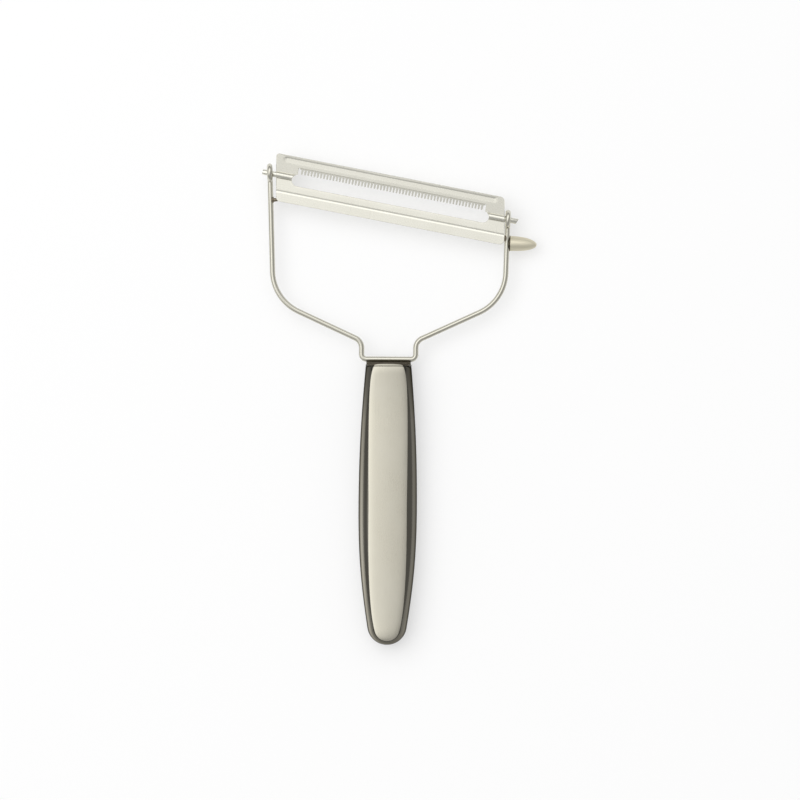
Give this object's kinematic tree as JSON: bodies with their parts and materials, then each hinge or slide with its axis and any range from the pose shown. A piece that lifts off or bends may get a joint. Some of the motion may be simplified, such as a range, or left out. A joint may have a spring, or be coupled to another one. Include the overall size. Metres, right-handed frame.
{
  "type": "julienne peeler",
  "caption": "Wide julienne peeler: hollow steel handle, bow bent from round wire, swinging toothed blade with a guard strip, stop pegs and a potato eye gouger on one arm.",
  "frame": {"origin": "middle of the handle's flat back panel, on its outer face", "axes": "+Y along the handle from the heel to the blade, +Z out of the back panel towards the front of the peeler, +X towards the arm that carries the gouger"},
  "size_m": [0.1129, 0.201, 0.0131],
  "materials": {
    "satin_steel": "satin",
    "wire_steel": "polished",
    "blade_steel": "satin",
    "gouger_steel": "satin"
  },
  "bodies": {
    "frame": {"handle_front_shell": "satin_steel", "handle_back_shell": "satin_steel", "handle_top_cap": "satin_steel", "bow_wire": "wire_steel", "eye_gouger": "gouger_steel", "left_stop_peg": "wire_steel", "right_stop_peg": "wire_steel"},
    "blade": {"julienne_blade": "blade_steel"}
  },
  "joints": [
    {"name": "blade_swing", "type": "hinge", "parent": "frame", "child": "blade", "pos_m": [0.00031, 0.12649, 0.00925], "axis": [-0.9826, 0.1857, 0], "range_deg": [0, 55]}
  ]
}
